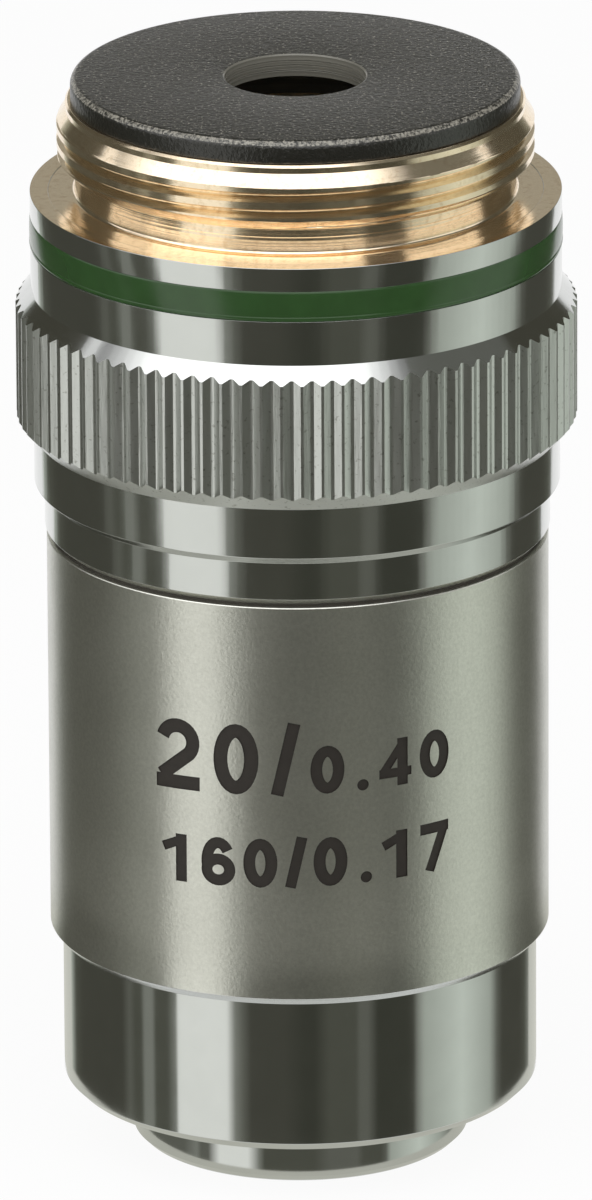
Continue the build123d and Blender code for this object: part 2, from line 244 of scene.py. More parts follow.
def make_knurl_chrome():
    """Chrome plate on a rolled knurl: duller than the turned faces, and streaked along the teeth."""
    finish, tree, point = new_finish("rolled_knurl_chrome")
    # Real streaks and pits are a few hundredths of a millimetre wide. They are drawn near 0.1 mm, to show.
    drawn_out = add(tree, "ShaderNodeMapping", {"Vector": point, "Scale": (8, 8, 0.5)})
    rolled = {"Vector": drawn_out, "Scale": 1, "Detail": 3, "Roughness": 0.6}
    streaks = add(tree, "ShaderNodeTexNoise", rolled)
    flow = add(tree, "ShaderNodeTexNoise", {"Vector": point, "Scale": 5, "Detail": 3, "Roughness": 0.6})
    pits = add(tree, "ShaderNodeMapRange", {"Value": flow, "From Min": 0.28, "From Max": 0.4})
    shades = {0: pits, 6: colour("#A9AAA5"), 7: colour("#D3D5D2")}
    tone = add(tree, "ShaderNodeMix", shades, data_type="RGBA")
    rough = add(tree, "ShaderNodeMapRange", {"Value": streaks, "To Min": 0.24, "To Max": 0.4})
    relief = add(tree, "ShaderNodeBump", {"Height": streaks, "Strength": 0.35, "Distance": 0.03 * MM})
    look = {"Base Color": tone.outputs[2], "Metallic": 1, "Roughness": rough, "Normal": relief}
    end_finish(tree, add(tree, "ShaderNodeBsdfPrincipled", look))
    return finish


def make_satin_chrome():
    """Chrome plate on bead-blasted brass: an even fine grain that spreads every reflection."""
    finish, tree, point = new_finish("bead_blasted_satin_chrome")
    # Glass bead leaves dimples near 0.05 mm, too fine to show, so the grain is drawn about 0.15 mm across.
    grain = add(tree, "ShaderNodeTexNoise", {"Vector": point, "Scale": 6.5, "Detail": 3, "Roughness": 0.7})
    cloud = add(tree, "ShaderNodeTexNoise", {"Vector": point, "Scale": 0.35, "Detail": 2})
    shades = {0: grain, 6: colour("#C2C2BA"), 7: colour("#ECECE4")}
    tone = add(tree, "ShaderNodeMix", shades, data_type="RGBA")
    rough = add(tree, "ShaderNodeMapRange", {"Value": cloud, "To Min": 0.27, "To Max": 0.34})
    relief = add(tree, "ShaderNodeBump", {"Height": grain, "Strength": 0.45, "Distance": 0.02 * MM})
    look = {"Base Color": tone.outputs[2], "Metallic": 0.97, "Roughness": rough, "Normal": relief}
    end_finish(tree, add(tree, "ShaderNodeBsdfPrincipled", look))
    return finish


def make_brass(name, low, high, metallic):
    """Free-cutting brass off the lathe: pale gold, with the tool's rings and specks of tarnish."""
    finish, tree, point = new_finish(name)
    spots = add(tree, "ShaderNodeTexNoise", {"Vector": point, "Scale": 3.2, "Detail": 5, "Roughness": 0.65})
    dulled = {"Value": spots, "From Min": 0.5, "From Max": 0.72, "To Max": 0.45}
    tarnish = add(tree, "ShaderNodeMapRange", dulled)
    shades = {0: tarnish, 6: colour("#FAE7CA"), 7: colour("#D0AE86")}
    tone = add(tree, "ShaderNodeMix", shades, data_type="RGBA")
    rough = add(tree, "ShaderNodeMapRange", {"Value": spots, "To Min": low, "To Max": high})
    rings = tool_rings(tree, point, 9)
    relief = add(tree, "ShaderNodeBump", {"Height": rings, "Strength": 0.2, "Distance": 0.03 * MM})
    look = {"Base Color": tone.outputs[2], "Metallic": metallic, "Roughness": rough, "Normal": relief}
    end_finish(tree, add(tree, "ShaderNodeBsdfPrincipled", look))
    return finish


def make_textured_abs():
    """Black ABS from a spark-textured mould: a soft grey sheen that breaks into small glints, with pale
    flecks painted on as glints on its top and as a highlight along its rim.
    """
    finish, tree, point = new_finish("spark_textured_black_abs_painted_glints")
    # Spark texture is about 0.1 mm from peak to peak, drawn near 0.2 mm so that it shows.
    peaks = add(tree, "ShaderNodeTexNoise", {"Vector": point, "Scale": 5.5, "Detail": 2, "Roughness": 0.6})
    flecks = add(tree, "ShaderNodeTexNoise", {"Vector": point, "Scale": 7, "Detail": 2, "Roughness": 0.7})
    top_glint_flecks = add(tree, "ShaderNodeMapRange", {"Value": flecks, "From Min": 0.6, "From Max": 0.67})
    # Pale flecks on the texture's peaks are painted glints: in spots on the flat top, and more along the rim
    # as a painted highlight.
    facing = add(tree, "ShaderNodeTexCoord").outputs["Normal"]
    upwards = add(tree, "ShaderNodeSeparateXYZ", [facing]).outputs["Z"]
    painted_top_glints = add(tree, "ShaderNodeMath", [top_glint_flecks, upwards], operation="MULTIPLY", use_clamp=True)
    rim_highlight_range = {"Value": flecks, "From Min": 0.38, "From Max": 0.62, "To Max": 0.85}
    rim_highlight_flecks = add(tree, "ShaderNodeMapRange", rim_highlight_range)
    rim = add(tree, "ShaderNodeMath", [upwards, 0.68, 0.24], operation="COMPARE")
    painted_rim_highlight = add(tree, "ShaderNodeMath", [rim_highlight_flecks, rim], operation="MULTIPLY")
    painted_glints_and_highlight = add(tree, "ShaderNodeMath", [painted_top_glints, painted_rim_highlight], operation="MAXIMUM")
    # The pale tone is painted glints and a painted rim highlight, not a colour of the plastic.
    shades = {0: painted_glints_and_highlight, 6: colour("#1C1B16"), 7: colour("#A8A498")}
    tone = add(tree, "ShaderNodeMix", shades, data_type="RGBA")
    relief = add(tree, "ShaderNodeBump", {"Height": peaks, "Strength": 0.6, "Distance": 0.07 * MM})
    look = {
        "Base Color": tone.outputs[2],
        "Roughness": 0.3,
        "IOR": 1.54,
        "Specular IOR Level": 0.65,
        "Normal": relief,
    }
    end_finish(tree, add(tree, "ShaderNodeBsdfPrincipled", look))
    return finish


def make_bored_abs():
    """The same ABS where the hole was bored through it, with the drill's fine rings: its grey, lighter along
    some rings, is painted sheen for the lit bore wall.
    """
    finish, tree, point = new_finish("bored_black_abs_painted_sheen")
    rings = tool_rings(tree, point, 5)
    # Painted sheen: these greys stand in for light on the bore wall and its rings.
    shades = {0: rings, 6: colour("#5E5C53"), 7: colour("#8E8C82")}
    tone = add(tree, "ShaderNodeMix", shades, data_type="RGBA")
    relief = add(tree, "ShaderNodeBump", {"Height": rings, "Strength": 0.6, "Distance": 0.05 * MM})
    look = {"Base Color": tone.outputs[2], "Roughness": 0.22, "IOR": 1.54, "Normal": relief}
    end_finish(tree, add(tree, "ShaderNodeBsdfPrincipled", look))
    return finish


def make_green_enamel():
    """Stoved green enamel, flooded into its groove: deep colour under a gloss with slight waves."""
    finish, tree, point = new_finish("stoved_green_enamel")
    flow = add(tree, "ShaderNodeTexNoise", {"Vector": point, "Scale": 0.9, "Detail": 2})
    shades = {0: flow, 6: colour("#284321"), 7: colour("#305029")}
    tone = add(tree, "ShaderNodeMix", shades, data_type="RGBA")
    relief = add(tree, "ShaderNodeBump", {"Height": flow, "Strength": 0.15, "Distance": 0.04 * MM})
    look = {"Base Color": tone.outputs[2], "Roughness": 0.16, "IOR": 1.52, "Normal": relief}
    end_finish(tree, add(tree, "ShaderNodeBsdfPrincipled", look))
    return finish


def make_blackened_brass():
    """Brass blackened in a bath, against stray light: nearly black, brown where the coat is thin."""
    finish, tree, point = new_finish("bath_blackened_brass")
    thin = add(tree, "ShaderNodeTexNoise", {"Vector": point, "Scale": 1.4, "Detail": 4})
    shades = {0: thin, 6: colour("#2E2C27"), 7: colour("#46423A")}
    tone = add(tree, "ShaderNodeMix", shades, data_type="RGBA")
    rings = tool_rings(tree, point, 7)
    relief = add(tree, "ShaderNodeBump", {"Height": rings, "Strength": 0.2, "Distance": 0.02 * MM})
    look = {"Base Color": tone.outputs[2], "Metallic": 0.3, "Roughness": 0.55, "Normal": relief}
    end_finish(tree, add(tree, "ShaderNodeBsdfPrincipled", look))
    return finish


def make_drawn_steel():
    """Cold-drawn spring steel: bright grey, faintly streaked by the die."""
    finish, tree, point = new_finish("drawn_spring_steel")
    streaks = add(tree, "ShaderNodeTexNoise", {"Vector": point, "Scale": 5, "Detail": 4})
    shades = {0: streaks, 6: colour("#77777A"), 7: colour("#9A9A9B")}
    tone = add(tree, "ShaderNodeMix", shades, data_type="RGBA")
    look = {"Base Color": tone.outputs[2], "Metallic": 1, "Roughness": 0.3}
    end_finish(tree, add(tree, "ShaderNodeBsdfPrincipled", look))
    return finish


def make_coated_glass():
    """Optical glass with a single-layer coating: clear, with a faint violet reflection."""
    finish, tree, point = new_finish("coated_optical_glass")
    film = add(tree, "ShaderNodeTexNoise", {"Vector": point, "Scale": 0.5, "Detail": 1})
    shades = {0: film, 6: colour("#F1EEF8"), 7: colour("#E9F3F0")}
    tone = add(tree, "ShaderNodeMix", shades, data_type="RGBA")
    look = {
        "Base Color": tone.outputs[2],
        "Roughness": 0.02,
        "IOR": 1.52,
        "Transmission Weight": 1,
        "Specular Tint": colour("#B9A6E8"),
    }
    end_finish(tree, add(tree, "ShaderNodeBsdfPrincipled", look))
    return finish


def make_filling_paint():
    """Matt black paint rubbed into the engraving, a little thinner in places."""
    finish, tree, point = new_finish("black_filling_paint")
    rub = add(tree, "ShaderNodeTexNoise", {"Vector": point, "Scale": 4, "Detail": 3})
    shades = {0: rub, 6: colour("#1E1914"), 7: colour("#2C2620")}
    tone = add(tree, "ShaderNodeMix", shades, data_type="RGBA")
    look = {"Base Color": tone.outputs[2], "Roughness": 0.6}
    end_finish(tree, add(tree, "ShaderNodeBsdfPrincipled", look))
    return finish


chrome = make_bright_chrome()
knurl_chrome = make_knurl_chrome()
satin = make_satin_chrome()
brass = make_brass("turned_brass", 0.08, 0.17, 0.98)
bored_brass = make_brass("bored_brass", 0.5, 0.6, 0.3)
abs_plastic = make_textured_abs()
bored_abs_painted_sheen = make_bored_abs()
enamel = make_green_enamel()
black_brass = make_blackened_brass()
spring_steel = make_drawn_steel()
glass = make_coated_glass()
paint = make_filling_paint()


def make_rear_cap():
    """Moulded disc with its light hole, and the skirt that plugs into the ring."""
    skirt_r, skirt_foot = RING_BORE_R - SKIRT_WALL, RING_TOP - SKIRT_LENGTH
    rings = []
    for top in HOLE_RINGS:
        rings += [(CAP_HOLE_R, top), (CAP_HOLE_R + HOLE_RING_DEPTH, top - 0.03), (CAP_HOLE_R, top - 0.06)]
    cap = turned(
        "moulded_rear_cap",
        [
            (skirt_r, skirt_foot),
            (RING_BORE_R, skirt_foot),
            (RING_BORE_R, RING_TOP),
            (CAP_R, RING_TOP, 0.05),
            (CAP_R, CAP_TOP, CAP_EDGE_ROUND),
            (CAP_HOLE_R, CAP_TOP, 0.12),
            *rings,
            (CAP_HOLE_R, RING_TOP),
            (skirt_r, RING_TOP),
        ],
    )
    close(cap)
    hand_over(cap, "shell", [abs_plastic, bored_abs_painted_sheen], "rear_cap")
    refinish(cap, 1, lambda radius, height, slope: radius < skirt_r + 0.05 and height < CAP_TOP - 0.01)


def cut_thread(blank):
    """The mounting thread: a sheet whose rows follow the helix, trimmed by the lead-in and the run-out."""
    sizes = {
        "Crest radius": THREAD_R * MM,
        "Depth": THREAD_DEPTH * MM,
        "Groove fades from": (LEAD_IN_LOW - 0.03) * MM,
        "Groove fades to": (LEAD_IN_LOW + 0.07) * MM,
        "Pitch": THREAD_PITCH * MM,
        "Half crest land": THREAD_LAND / 2 * MM,
        "Flank slope": 1 / math.tan(math.radians(THREAD_FLANK)),
        "Foot": THREAD_FOOT * MM,
        "Top": LEAD_IN_HIGH * MM,
        "Lead-in start": LEAD_IN_LOW * MM,
        "Lead-in slope": THREAD_DEPTH / (LEAD_IN_HIGH - LEAD_IN_LOW),
        "Run-out start": (THREAD_FOOT + THREAD_R - THREAD_FOOT_R) * MM,
        "Crest height at the front": 1.682 * MM,
        "First row": -2.0,
        "Last row": 2.6,
        "Columns": TURN_FLATS + 1,
        "Rows": 139,
        "Finish": brass,
    }
    tree, given = new_tree("helical_mounting_thread", sizes)
    sheet = add(tree, "GeometryNodeMeshGrid", [1, 1, given["Columns"], given["Rows"]])
    place = add(tree, "ShaderNodeSeparateXYZ", [add(tree, "GeometryNodeInputPosition")])
    share = add(tree, "ShaderNodeMath", [place, 0.5], operation="ADD")
    turn = add(tree, "ShaderNodeMath", [share, 2 * math.pi], operation="MULTIPLY")
    row_inputs = [place.outputs["Y"], -0.5, 0.5, given["First row"], given["Last row"]]
    row = add(tree, "ShaderNodeMapRange", row_inputs)
    from_front = add(tree, "ShaderNodeMath", [share, 0.25], operation="ADD")
    turns_up = add(tree, "ShaderNodeMath", [row, from_front], operation="ADD")
    climb = [turns_up, given["Pitch"], given["Crest height at the front"]]
    rise = add(tree, "ShaderNodeMath", climb, operation="MULTIPLY_ADD")
    height = add(tree, "ShaderNodeClamp", [rise, given["Foot"], given["Top"]])
    from_crest = add(tree, "ShaderNodeMath", [row, 0.5], operation="PINGPONG")
    away = add(tree, "ShaderNodeMath", [from_crest, given["Pitch"]], operation="MULTIPLY")
    past_land = add(tree, "ShaderNodeMath", [away, given["Half crest land"]], operation="SUBTRACT")
    sunk = add(tree, "ShaderNodeMath", [past_land, given["Flank slope"]], operation="MULTIPLY")
    groove = add(tree, "ShaderNodeClamp", [sunk, 0, given["Depth"]])
    fading = [height, given["Groove fades from"], given["Groove fades to"], 1, 0]
    fade = add(tree, "ShaderNodeMapRange", fading)
    cut = add(tree, "ShaderNodeMath", [groove, fade], operation="MULTIPLY")
    over = add(tree, "ShaderNodeMath", [height, given["Lead-in start"]], operation="SUBTRACT")
    lead_in = add(tree, "ShaderNodeMath", [over, given["Lead-in slope"]], operation="MULTIPLY")
    run_out = add(tree, "ShaderNodeMath", [given["Run-out start"], height], operation="SUBTRACT")
    trimmed = add(tree, "ShaderNodeMath", [lead_in, run_out], operation="MAXIMUM")
    deepest = add(tree, "ShaderNodeMath", [trimmed, cut], operation="MAXIMUM")
    radius = add(tree, "ShaderNodeMath", [given["Crest radius"], deepest], operation="SUBTRACT")
    cosine = add(tree, "ShaderNodeMath", [turn], operation="COSINE")
    sine = add(tree, "ShaderNodeMath", [turn], operation="SINE")
    x = add(tree, "ShaderNodeMath", [radius, cosine], operation="MULTIPLY")
    y = add(tree, "ShaderNodeMath", [radius, sine], operation="MULTIPLY")
    spot = add(tree, "ShaderNodeCombineXYZ", [x, y, height])
    wound = add(tree, "GeometryNodeSetPosition", {"Geometry": sheet, "Position": spot})
    joined = add(tree, "GeometryNodeJoinGeometry", [wound])
    tree.links.new(given["Geometry"], joined.inputs[0])
    end_tree(tree, joined, given["Finish"])
    work(blank, tree, sizes)


def make_mount_ring():
    """Brass ring: spigot, flange let into the barrel, relieved neck, and the thread with its lead-in."""
    core_r = THREAD_R - THREAD_DEPTH
    ring = turned(
        "threaded_mount_ring",
        [
            (core_r, LEAD_IN_HIGH),
            (core_r, RING_TOP - RING_CHAMFER),
            (core_r - RING_CHAMFER, RING_TOP, 0.03),
            (RING_BORE_R, RING_TOP),
            (RING_BORE_R, RING_BOTTOM),
            (BARREL_BORE_R, RING_BOTTOM),
            (BARREL_BORE_R, RING_SEAT),
            (FLANGE_R, RING_SEAT),
            (FLANGE_R, -FLANGE_SUNK, 0.03),
            (NECK_R, -FLANGE_SUNK, NECK_ROUND),
            (NECK_R, THREAD_FOOT, 0.05),
            (THREAD_FOOT_R, THREAD_FOOT),
        ],
        closed=False,
    )
    cut_thread(ring)
    close(ring)
    hand_over(ring, "shell", [brass, bored_brass], "mount_ring")
    refinish(ring, 1, lambda radius, height, slope: radius < RING_BORE_R + 0.05)


def cut_knurl(blank):
    """The straight knurl: V grooves sunk in a turned blank, running out on its two end chamfers."""
    sizes = {
        "Teeth": float(KNURL_TEETH),
        "Crest radius": KNURL_R * MM,
        "Groove depth": KNURL_DEPTH * MM,
        "Flank share": (1 - KNURL_CREST) / 2,
        "Top chamfer slope": (BAND_BOTTOM - KNURL_TOP) / (KNURL_R - BARREL_R),
        "Bottom chamfer slope": (COLLAR_1_TOP - KNURL_BOTTOM) / (KNURL_R - COLLAR_1_R),
        "Middle height": (KNURL_TOP + KNURL_BOTTOM) / 2 * MM,
        "Root height": 0.8,
        "Root rounding": 0.2,
        "Least depth": 0.88,
        "Most depth": 1.06,
        "Seed": 11,
        "Finish": chrome,
    }
    tree, given = new_tree("straight_knurl", sizes)
    place = add(tree, "ShaderNodeSeparateXYZ", [add(tree, "GeometryNodeInputPosition")])
    flat = add(tree, "ShaderNodeCombineXYZ", [place.outputs["X"], place.outputs["Y"]])
    radius = add(tree, "ShaderNodeVectorMath", [flat], operation="LENGTH").outputs["Value"]
    turn = add(tree, "ShaderNodeMath", [place.outputs["Y"], place.outputs["X"]], operation="ARCTAN2")
    share = add(tree, "ShaderNodeMath", [turn, 2 * math.pi], operation="DIVIDE")
    count = add(tree, "ShaderNodeMath", [share, given["Teeth"]], operation="MULTIPLY")
    from_root = add(tree, "ShaderNodeMath", [count, 0.5], operation="PINGPONG")
    up_flank = add(tree, "ShaderNodeMath", [from_root, given["Flank share"]], operation="DIVIDE")
    sharp = add(tree, "ShaderNodeMath", [1, up_flank], operation="SUBTRACT", use_clamp=True)
    rounding = [sharp, given["Root height"], given["Root rounding"]]
    below = add(tree, "ShaderNodeMath", rounding, operation="SMOOTH_MIN")
    groove = add(tree, "ShaderNodeMath", [count], operation="ROUND")
    spread = {2: given["Least depth"], 3: given["Most depth"], "ID": groove, "Seed": given["Seed"]}
    uneven = add(tree, "FunctionNodeRandomValue", spread, data_type="FLOAT").outputs[1]
    depth = add(tree, "ShaderNodeMath", [given["Groove depth"], uneven], operation="MULTIPLY")
    sunk = add(tree, "ShaderNodeMath", [depth, below], operation="MULTIPLY")
    cut_radius = add(tree, "ShaderNodeMath", [given["Crest radius"], sunk], operation="SUBTRACT")
    inwards = add(tree, "ShaderNodeMath", [cut_radius, radius], operation="DIVIDE")
    heights = [place.outputs["Z"], given["Middle height"]]
    upper = add(tree, "ShaderNodeMath", heights, operation="GREATER_THAN")
    slopes = {0: upper, 2: given["Bottom chamfer slope"], 3: given["Top chamfer slope"]}
    slope = add(tree, "ShaderNodeMix", slopes, data_type="FLOAT")
    height = add(tree, "ShaderNodeMath", [sunk, slope, place.outputs["Z"]], operation="MULTIPLY_ADD")
    x = add(tree, "ShaderNodeMath", [place.outputs["X"], inwards], operation="MULTIPLY")
    y = add(tree, "ShaderNodeMath", [place.outputs["Y"], inwards], operation="MULTIPLY")
    spot = add(tree, "ShaderNodeCombineXYZ", [x, y, height])
    nearly = add(tree, "ShaderNodeMath", [given["Crest radius"], 0.02 * MM], operation="SUBTRACT")
    crests = add(tree, "ShaderNodeMath", [radius, nearly], operation="GREATER_THAN")
    knurled = {"Geometry": given["Geometry"], "Selection": crests, "Position": spot}
    end_tree(tree, add(tree, "GeometryNodeSetPosition", knurled), given["Finish"])
    work(blank, tree, sizes)


def make_barrel():
    """Plated barrel: band, knurl and two collars in one piece, with its shoulder left as bare brass."""
    pitch = 2 * math.pi / KNURL_TEETH
    cuts = (-KNURL_ROOT, 0, KNURL_ROOT, (1 - KNURL_CREST) / 2, (1 + KNURL_CREST) / 2)
    groove_r = BARREL_R - ENAMEL_DEPTH
    barrel = turned(
        "knurled_plated_barrel",
        [
            (BARREL_BORE_R, JOINT),
            (JOINT_R, JOINT),
            (COLLAR_2_R, COLLAR_2_BOTTOM, 0.03),
            (COLLAR_2_R, COLLAR_2_TOP, 0.03),
            (COLLAR_1_R, COLLAR_1_BOTTOM - 0.02, 0.06),
            (COLLAR_1_R, COLLAR_1_TOP),
            (KNURL_R, KNURL_BOTTOM),
            (KNURL_R, KNURL_TOP),
            (BARREL_R, BAND_BOTTOM),
            (BARREL_R, ENAMEL_BOTTOM, 0.008),
            (groove_r, ENAMEL_BOTTOM),
            (groove_r, ENAMEL_TOP),
            (BARREL_R, ENAMEL_TOP, 0.008),
            (BARREL_R, 0, 0.02),
            (FLANGE_R, 0, 0.02),
            (FLANGE_R, RING_SEAT),
            (BARREL_BORE_R, RING_SEAT),
        ],
        [pitch * (tooth + cut) for tooth in range(KNURL_TEETH) for cut in cuts],
    )
    cut_knurl(barrel)
    close(barrel, 20)
    hand_over(barrel, "shell", [chrome, brass, knurl_chrome, satin], "knurled_barrel")

    def on_knurl(radius, height, slope):
        return radius > COLLAR_1_R + 0.01 and height < KNURL_TOP and slope < 0.2

    refinish(barrel, 1, lambda radius, height, slope: slope > 0.9 and height > -0.03)
    refinish(barrel, 2, on_knurl)
    refinish(barrel, 3, lambda radius, height, slope: radius > JOINT_R and height < COLLAR_2_BOTTOM - 0.02)


# The enamel's surface, from its foot up: how far it stands proud of the barrel, and the height there.
ENAMEL_SURFACE = (
    (-0.03, -2.335), (0.008, -2.3), (0.032, -2.25), (0.04, -2.2), (0.032, -2.16), (0.018, -2.13),
    (0.022, -2.09), (0.03, -1.98), (0.035, -1.8), (0.035, -1.55), (0.028, -1.32), (0.012, -1.13),
    (-0.004, -1.04), (-0.03, -1.005),
)


def make_colour_ring():
    """Enamel band, crowned where it was flooded into its groove, with the bead along its lower edge."""
    groove_r = BARREL_R - ENAMEL_DEPTH
    surface = [(BARREL_R + proud, height) for proud, height in ENAMEL_SURFACE]
    band = turned("enamel_band", [(groove_r, ENAMEL_TOP), (groove_r, ENAMEL_BOTTOM), *surface])
    close(band)
    hand_over(band, "shell", [enamel], "colour_ring")


# Runs of figures: the height of their foot, then for each figure the angle of its left edge from the front
# in degrees, and its width, height and pen width in mm. The lines climb slightly to the right, as they do on
# the real one, by so many mm for each degree.
FIGURE_CLIMB = 0.005
FIGURE_LINES = (
    (-23.52, (("2", -34.2, 2.08, 3.15, 0.62), ("0", -19.7, 1.97, 3.15, 0.62), ("/", -5.7, 1.01, 3.2, 0.54))),
    (-23.52, (("0", 2.6, 1.45, 2.15, 0.5), (".", 13.3, 0.5, 0.5, 0.5), ("4", 18.5, 1.47, 2.11, 0.48))),
    (-23.52, (("0", 28.5, 1.46, 2.15, 0.5),)),
    (-27.67, (("1", -32.5, 1.13, 2.13, 0.52), ("6", -22.8, 1.52, 2.18, 0.5), ("0", -12.8, 1.46, 2.2, 0.51))),
    (-27.67, (("/", -2.7, 0.74, 2.25, 0.46), ("0", 3.2, 1.45, 2.2, 0.51), (".", 14.0, 0.5, 0.5, 0.5))),
    (-27.67, (("1", 19.4, 1.1, 2.13, 0.52), ("7", 28.6, 1.41, 2.15, 0.48))),
)


def bow(x, y, rx, ry, start, end):
    """Points along part of an oval, between two angles in degrees."""
    steps = max(4, round(abs(end - start) / 12))
    turns = [math.radians(start + (end - start) * k / steps) for k in range(steps + 1)]
    return [(x + rx * math.cos(a), y + ry * math.sin(a)) for a in turns]


def figure_strokes(character, w, h, pen):
    """The strokes that cut one plain upright figure in a box w wide and h high, each with its pen width."""
    p = pen / 2
    if character == "0":
        return [(bow(w / 2, h / 2, w / 2 - p, h / 2 - p, 90, 450), pen)]
    if character == "1":
        return [([(w - p, 0), (w - p, h)], pen), ([(w - p, 0.88 * h), (0, 0.7 * h)], 0.8 * pen)]
    if character == "2":
        over = bow(w / 2, h - w / 2, w / 2 - p, w / 2 - p, 165, -42)
        return [([*over, (0.8 * p, 0.9 * pen)], pen), ([(0, p), (w, p)], pen)]
    if character == "4":
        upright, bar = [(0.72 * w, 0), (0.72 * w, h)], [(0, 0.28 * h), (w, 0.28 * h)]
        return [(upright, pen), (bar, 0.85 * pen), ([(0.72 * w, h - p), (0.7 * p, 0.3 * h)], 0.8 * pen)]
    if character == "6":
        ring = bow(w / 2, 0.33 * h, w / 2 - p, 0.33 * h - p, 90, 450)
        return [(ring, pen), (bow(w / 2, h / 2, w / 2 - p, h / 2 - p, 195, 35), pen)]
    if character == "7":
        return [([(0, h - p), (w, h - p)], pen), ([(w - 0.9 * p, h - p), (0.32 * w, 0)], 0.95 * pen)]
    if character == "/":
        return [([(p / 2, 0), (w - p / 2, h)], pen)]
    return [(bow(w / 2, h / 2, w / 4, h / 4, 90, 450), w / 2)]


def wrap_stroke(verts, faces, points, pen, place):
    """Adds one stroke as a closed solid that follows the sleeve. One that ends where it began is a ring."""
    ring = math.dist(points[0], points[-1]) < 1e-6
    line = [points[0]]
    for a, b in zip(points, points[1:]):
        parts = max(1, math.ceil(math.dist(a, b) / LONGEST_STEP))
        for k in range(1, parts + 1):
            line.append((a[0] + (b[0] - a[0]) * k / parts, a[1] + (b[1] - a[1]) * k / parts))
    if ring:
        line.pop()
    n, first = len(line), len(verts)
    for i, spot in enumerate(line):
        last, after = line[i - 1], line[(i + 1) % n]
        if not ring:
            last, after = line[max(i - 1, 0)], line[min(i + 1, n - 1)]
        way = Vector((after[0] - last[0], after[1] - last[1])).normalized() * pen / 2
        for side in (-1, 1):
            x, y = spot[0] - side * way.y, spot[1] + side * way.x
            verts += [place(x, y, -ENGRAVING_DEPTH), place(x, y, ENGRAVING_DEPTH)]
    for i in range(n if ring else n - 1):
        a, b = first + 4 * i, first + 4 * ((i + 1) % n)
        faces += [(a + 1, b + 1, b + 3, a + 3), (a, a + 2, b + 2, b)]
        faces += [(a, b, b + 1, a + 1), (a + 2, a + 3, b + 3, b + 2)]
    if not ring:
        end = first + 4 * (n - 1)
        faces += [(first + 2, first, first + 1, first + 3), (end, end + 2, end + 3, end + 1)]


def make_figure_cutter():
    """The engraved figures as solids, wrapped round the sleeve and ready to be cut out of it."""
    verts, faces = [], []
    for base, figures in FIGURE_LINES:
        for character, left, width, height, pen in figures:

            def place(x, y, out):
                turn = math.radians(left) + x / SLEEVE_R
                r, z = (SLEEVE_R + out) * MM, (base + y + math.degrees(turn) * FIGURE_CLIMB) * MM
                return (r * math.sin(turn), -r * math.cos(turn), z)

            for points, wide in figure_strokes(character, width, height, pen):
                wrap_stroke(verts, faces, points, wide, place)
    piece = new_object("figure_cutter", verts, faces)
    piece.data.materials.append(paint)
    return piece


def true_to_the_lathe(piece):
    """Normals that are exact round the axis, so that the engraving leaves no mark on the sleeve's curve."""
    normals = [None] * len(piece.data.loops)
    for face in piece.data.polygons:
        turn = math.atan2(face.center.y, face.center.x)
        local = Matrix.Rotation(-turn, 3, "Z") @ face.normal
        for loop in face.loop_indices:
            spot = piece.data.vertices[piece.data.loops[loop].vertex_index].co
            normals[loop] = Matrix.Rotation(math.atan2(spot.y, spot.x), 3, "Z") @ local
    piece.data.shade_smooth()
    piece.data.normals_split_custom_set(normals)


def make_sleeve():
    """Satin sleeve with a bright chamfer at its foot, a dark spigot, and the engraved figures. The spigot's
    blackened brass runs onto the wall in the joint gap as painted shade under the collar.
    """
    shelf = JOINT - JOINT_GAP
    sleeve = turned(
        "engraved_satin_sleeve",
        [
            (POCKET_R, SLEEVE_BOTTOM),
            (SLEEVE_R - SLEEVE_FOOT_WIDE, SLEEVE_BOTTOM, 0.03),
            (SLEEVE_R, SLEEVE_BOTTOM + SLEEVE_FOOT_HIGH, 0.06),
            (SLEEVE_R, shelf - SLEEVE_TOP_EDGE, 0.02),
            (SLEEVE_R - 0.025, shelf, 0.01),
            (JOINT_R, shelf),
            (JOINT_R, JOINT),
            (BARREL_BORE_R, JOINT),
            (BARREL_BORE_R, JOINT + SPIGOT_LENGTH),
            (SLEEVE_BORE_R, JOINT + SPIGOT_LENGTH),
            (SLEEVE_BORE_R, LAND_TOP),
            (LAND_R, LAND_TOP),
            (LAND_R, LAND_BOTTOM),
            (POCKET_R, LAND_BOTTOM),
        ],
    )
    close(sleeve)
    sleeve.data.materials.append(satin)
    cutter = make_figure_cutter()
    engrave = sleeve.modifiers.new("engrave", "BOOLEAN")
    engrave.operation, engrave.object = "DIFFERENCE", cutter
    engrave.solver, engrave.use_self = "EXACT", True
    engrave.material_mode = "TRANSFER"
    plain_mesh(sleeve)
    bpy.data.objects.remove(cutter)
    true_to_the_lathe(sleeve)
    sleeve.data.materials.append(chrome)
    sleeve.data.materials.append(black_brass)
    foot = SLEEVE_BOTTOM + SLEEVE_FOOT_HIGH + 0.02
    refinish(sleeve, 2, lambda radius, height, slope: height < foot and slope < -0.25)
    # Blackened brass on the spigot, and on the wall in the joint gap as painted shade under the collar.
    refinish(sleeve, 3, lambda radius, height, slope: height > JOINT - 0.1)
    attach(sleeve, "shell")
    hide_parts("outer_sleeve")


def make_nose():
    """Polished nose with its eased front edge."""
    nose = turned(
        "polished_nose",
        [
            (TUBE_R, NOSE_TOP),
            (NOSE_R, NOSE_TOP),
            (NOSE_R, NOSE_FRONT + NOSE_CHAMFER, 0.05),
            (NOSE_R - NOSE_CHAMFER, NOSE_FRONT, 0.04),
            (FRONT_SPIGOT_R, NOSE_FRONT),
            (FRONT_SPIGOT_R, NOSE_SEAT),
            (TUBE_R, NOSE_SEAT),
        ],
    )
    close(nose)
    hand_over(nose, "nose", [chrome], "nose_barrel")


